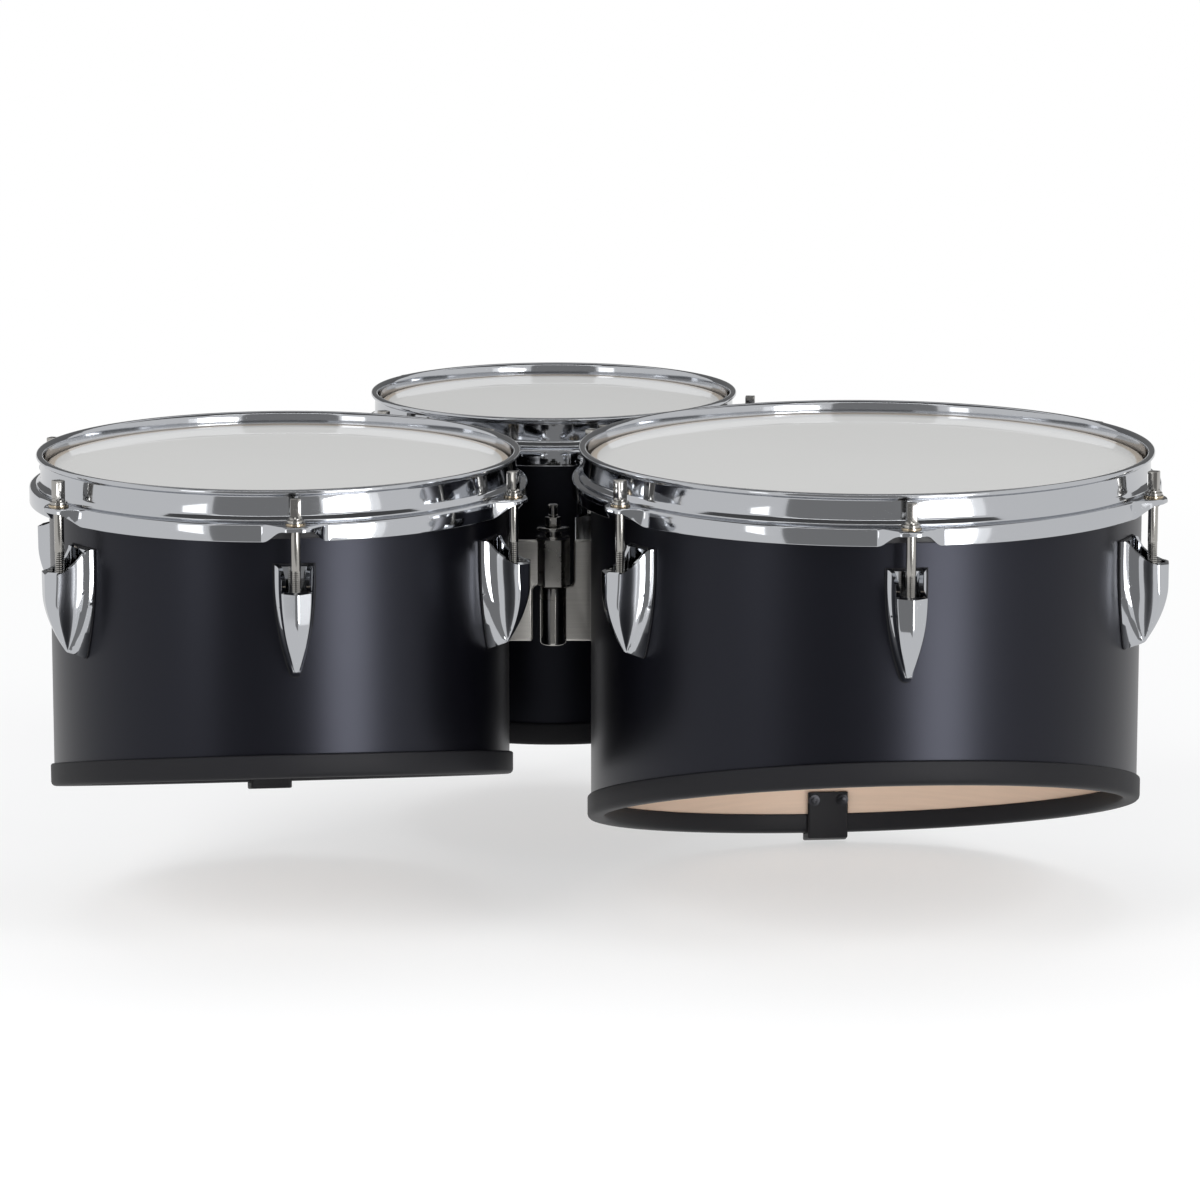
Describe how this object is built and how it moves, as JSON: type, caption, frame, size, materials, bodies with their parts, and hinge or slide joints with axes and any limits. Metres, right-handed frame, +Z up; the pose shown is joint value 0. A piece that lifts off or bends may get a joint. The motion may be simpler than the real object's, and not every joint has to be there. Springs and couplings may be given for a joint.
{
  "type": "marching tenor drum set",
  "caption": "Marching tenor drum set: slant-cut black shells with white heads, chrome triple-flanged hoops, tension rods and lugs, joined by upright pin hinges.",
  "frame": {"origin": "midway between the two carrier receivers, at half their height, in the upright plane of the front hinge's pin", "axes": "+Z up along the hinge pins, -Y towards the audience, +X towards the large drum"},
  "size_m": [0.6277, 0.5118, 0.2636],
  "materials": {
    "drum_shell": "satin black lacquer outside, bare light wood inside",
    "chrome_plate": "polished chrome plate",
    "steel_hardware": "nickel plated and brushed steel",
    "drumhead_film": "smooth white film",
    "edge_rubber": "matte black rubber"
  },
  "bodies": {
    "large_drum": {"foot_12": "edge_rubber", "head_12": "drumhead_film", "lug_1_12": "chrome_plate", "lug_2_12": "chrome_plate", "lug_3_12": "chrome_plate", "lug_4_12": "chrome_plate", "lug_5_12": "chrome_plate", "lug_6_12": "chrome_plate", "receiver_12": "steel_hardware", "shell_12": "drum_shell", "trim_12": "edge_rubber", "front_hinge_leaf_12": "steel_hardware", "front_hinge_nut": "steel_hardware", "front_hinge_stud": "steel_hardware", "front_hinge_washers": "steel_hardware", "rear_hinge_leaf_12": "steel_hardware", "rear_hinge_nut": "steel_hardware", "rear_hinge_stud": "steel_hardware", "rear_hinge_washers": "steel_hardware"},
    "medium_drum": {"foot_10": "edge_rubber", "head_10": "drumhead_film", "lug_1_10": "chrome_plate", "lug_2_10": "chrome_plate", "lug_3_10": "chrome_plate", "lug_4_10": "chrome_plate", "lug_5_10": "chrome_plate", "lug_6_10": "chrome_plate", "receiver_10": "steel_hardware", "shell_10": "drum_shell", "trim_10": "edge_rubber", "front_hinge_leaf_10": "steel_hardware"},
    "small_drum": {"head_8": "drumhead_film", "lug_1_8": "chrome_plate", "lug_2_8": "chrome_plate", "lug_3_8": "chrome_plate", "lug_4_8": "chrome_plate", "lug_5_8": "chrome_plate", "shell_8": "drum_shell", "trim_8": "edge_rubber", "rear_hinge_leaf_8": "steel_hardware"},
    "hoop_12": {"hoop_12": "chrome_plate"},
    "rod_1_12": {"rod_1_12": "steel_hardware"},
    "rod_2_12": {"rod_2_12": "steel_hardware"},
    "rod_3_12": {"rod_3_12": "steel_hardware"},
    "rod_4_12": {"rod_4_12": "steel_hardware"},
    "rod_5_12": {"rod_5_12": "steel_hardware"},
    "rod_6_12": {"rod_6_12": "steel_hardware"},
    "hoop_10": {"hoop_10": "chrome_plate"},
    "rod_1_10": {"rod_1_10": "steel_hardware"},
    "rod_2_10": {"rod_2_10": "steel_hardware"},
    "rod_3_10": {"rod_3_10": "steel_hardware"},
    "rod_4_10": {"rod_4_10": "steel_hardware"},
    "rod_5_10": {"rod_5_10": "steel_hardware"},
    "rod_6_10": {"rod_6_10": "steel_hardware"},
    "hoop_8": {"hoop_8": "chrome_plate"},
    "rod_1_8": {"rod_1_8": "steel_hardware"},
    "rod_2_8": {"rod_2_8": "steel_hardware"},
    "rod_3_8": {"rod_3_8": "steel_hardware"},
    "rod_4_8": {"rod_4_8": "steel_hardware"},
    "rod_5_8": {"rod_5_8": "steel_hardware"}
  },
  "joints": [
    {"name": "front_hinge_turn", "type": "hinge", "parent": "large_drum", "child": "medium_drum", "pos_m": [0, -0.09803, 0], "axis": [0, 0, 1], "range_deg": [0, 12]},
    {"name": "rear_hinge_turn", "type": "hinge", "parent": "large_drum", "child": "small_drum", "pos_m": [0.10502, 0.03017, 0], "axis": [0, 0, -1], "range_deg": [0, 25]},
    {"name": "hoop_12_lift", "type": "slide", "parent": "large_drum", "child": "hoop_12", "axis": [0, 0, 1], "range_m": [0, 0.00317]},
    {"name": "rod_1_12_turn", "type": "hinge", "parent": "hoop_12", "child": "rod_1_12", "pos_m": [0.18809, -0.29482, 0.072], "axis": [0, 0, 1], "range_deg": [0, 1081]},
    {"name": "rod_2_12_turn", "type": "hinge", "parent": "hoop_12", "child": "rod_2_12", "pos_m": [0.32522, -0.1988, 0.072], "axis": [0, 0, 1], "range_deg": [0, 1081]},
    {"name": "rod_3_12_turn", "type": "hinge", "parent": "hoop_12", "child": "rod_3_12", "pos_m": [0.31063, -0.03204, 0.072], "axis": [0, 0, 1], "range_deg": [0, 1081]},
    {"name": "rod_4_12_turn", "type": "hinge", "parent": "hoop_12", "child": "rod_4_12", "pos_m": [0.15891, 0.03871, 0.072], "axis": [0, 0, 1], "range_deg": [0, 1081]},
    {"name": "rod_5_12_turn", "type": "hinge", "parent": "hoop_12", "child": "rod_5_12", "pos_m": [0.02178, -0.05731, 0.072], "axis": [0, 0, 1], "range_deg": [0, 1081]},
    {"name": "rod_6_12_turn", "type": "hinge", "parent": "hoop_12", "child": "rod_6_12", "pos_m": [0.03637, -0.22407, 0.072], "axis": [0, 0, 1], "range_deg": [0, 1081]},
    {"name": "hoop_10_lift", "type": "slide", "parent": "medium_drum", "child": "hoop_10", "axis": [0, 0, 1], "range_m": [0, 0.00317]},
    {"name": "rod_1_10_turn", "type": "hinge", "parent": "hoop_10", "child": "rod_1_10", "pos_m": [-0.13542, -0.26915, 0.07], "axis": [0, 0, 1], "range_deg": [0, 1081]},
    {"name": "rod_2_10_turn", "type": "hinge", "parent": "hoop_10", "child": "rod_2_10", "pos_m": [-0.02128, -0.18468, 0.07], "axis": [0, 0, 1], "range_deg": [0, 1081]},
    {"name": "rod_3_10_turn", "type": "hinge", "parent": "hoop_10", "child": "rod_3_10", "pos_m": [-0.03735, -0.04359, 0.07], "axis": [0, 0, 1], "range_deg": [0, 1081]},
    {"name": "rod_4_10_turn", "type": "hinge", "parent": "hoop_10", "child": "rod_4_10", "pos_m": [-0.16758, 0.01303, 0.07], "axis": [0, 0, 1], "range_deg": [0, 1081]},
    {"name": "rod_5_10_turn", "type": "hinge", "parent": "hoop_10", "child": "rod_5_10", "pos_m": [-0.28172, -0.07143, 0.07], "axis": [0, 0, 1], "range_deg": [0, 1081]},
    {"name": "rod_6_10_turn", "type": "hinge", "parent": "hoop_10", "child": "rod_6_10", "pos_m": [-0.26565, -0.21252, 0.07], "axis": [0, 0, 1], "range_deg": [0, 1081]},
    {"name": "hoop_8_lift", "type": "slide", "parent": "small_drum", "child": "hoop_8", "axis": [0, 0, 1], "range_m": [0, 0.00317]},
    {"name": "rod_1_8_turn", "type": "hinge", "parent": "hoop_8", "child": "rod_1_8", "pos_m": [0.02821, -0.02321, 0.069], "axis": [0, 0, 1], "range_deg": [0, 1081]},
    {"name": "rod_2_8_turn", "type": "hinge", "parent": "hoop_8", "child": "rod_2_8", "pos_m": [0.11632, 0.08179, 0.069], "axis": [0, 0, 1], "range_deg": [0, 1081]},
    {"name": "rod_3_8_turn", "type": "hinge", "parent": "hoop_8", "child": "rod_3_8", "pos_m": [0.04368, 0.19803, 0.069], "axis": [0, 0, 1], "range_deg": [0, 1081]},
    {"name": "rod_4_8_turn", "type": "hinge", "parent": "hoop_8", "child": "rod_4_8", "pos_m": [-0.08932, 0.16487, 0.069], "axis": [0, 0, 1], "range_deg": [0, 1081]},
    {"name": "rod_5_8_turn", "type": "hinge", "parent": "hoop_8", "child": "rod_5_8", "pos_m": [-0.09888, 0.02814, 0.069], "axis": [0, 0, 1], "range_deg": [0, 1081]}
  ],
  "couplings": [
    {"joint": "rod_1_12_turn", "follows": "hoop_12_lift", "rad_per_m": 5936.9},
    {"joint": "rod_2_12_turn", "follows": "hoop_12_lift", "rad_per_m": 5936.9},
    {"joint": "rod_3_12_turn", "follows": "hoop_12_lift", "rad_per_m": 5936.9},
    {"joint": "rod_4_12_turn", "follows": "hoop_12_lift", "rad_per_m": 5936.9},
    {"joint": "rod_5_12_turn", "follows": "hoop_12_lift", "rad_per_m": 5936.9},
    {"joint": "rod_6_12_turn", "follows": "hoop_12_lift", "rad_per_m": 5936.9},
    {"joint": "rod_1_10_turn", "follows": "hoop_10_lift", "rad_per_m": 5936.9},
    {"joint": "rod_2_10_turn", "follows": "hoop_10_lift", "rad_per_m": 5936.9},
    {"joint": "rod_3_10_turn", "follows": "hoop_10_lift", "rad_per_m": 5936.9},
    {"joint": "rod_4_10_turn", "follows": "hoop_10_lift", "rad_per_m": 5936.9},
    {"joint": "rod_5_10_turn", "follows": "hoop_10_lift", "rad_per_m": 5936.9},
    {"joint": "rod_6_10_turn", "follows": "hoop_10_lift", "rad_per_m": 5936.9},
    {"joint": "rod_1_8_turn", "follows": "hoop_8_lift", "rad_per_m": 5936.9},
    {"joint": "rod_2_8_turn", "follows": "hoop_8_lift", "rad_per_m": 5936.9},
    {"joint": "rod_3_8_turn", "follows": "hoop_8_lift", "rad_per_m": 5936.9},
    {"joint": "rod_4_8_turn", "follows": "hoop_8_lift", "rad_per_m": 5936.9},
    {"joint": "rod_5_8_turn", "follows": "hoop_8_lift", "rad_per_m": 5936.9}
  ]
}
